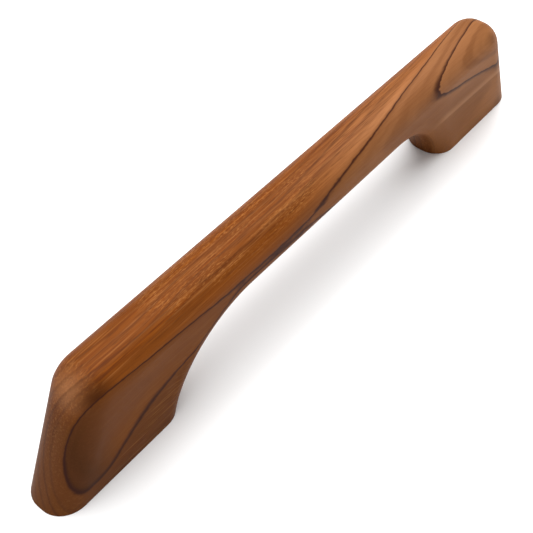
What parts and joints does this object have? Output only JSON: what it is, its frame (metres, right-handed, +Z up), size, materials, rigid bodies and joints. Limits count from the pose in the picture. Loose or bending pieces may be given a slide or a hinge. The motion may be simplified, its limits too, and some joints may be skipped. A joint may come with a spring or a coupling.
{
  "type": "grab rail",
  "caption": "Teak one-loop grab rail: straight rounded hand bar on spread feet with slanted ends and hollowed sides, brass screw inserts set in the base.",
  "frame": {"origin": "middle of the base plane, on the middle line of the rail, half way between the feet", "axes": "+X along the hand bar, +Y across the rail, +Z up from the surface that the feet are fastened to"},
  "size_m": [0.33, 0.025, 0.0585],
  "materials": {
    "teak": "fine sanded and oiled teak, satin",
    "brass": "machined, bare"
  },
  "bodies": {
    "root": {"rail_body": "teak", "screw_insert_left": "brass", "screw_insert_right": "brass"}
  },
  "joints": []
}
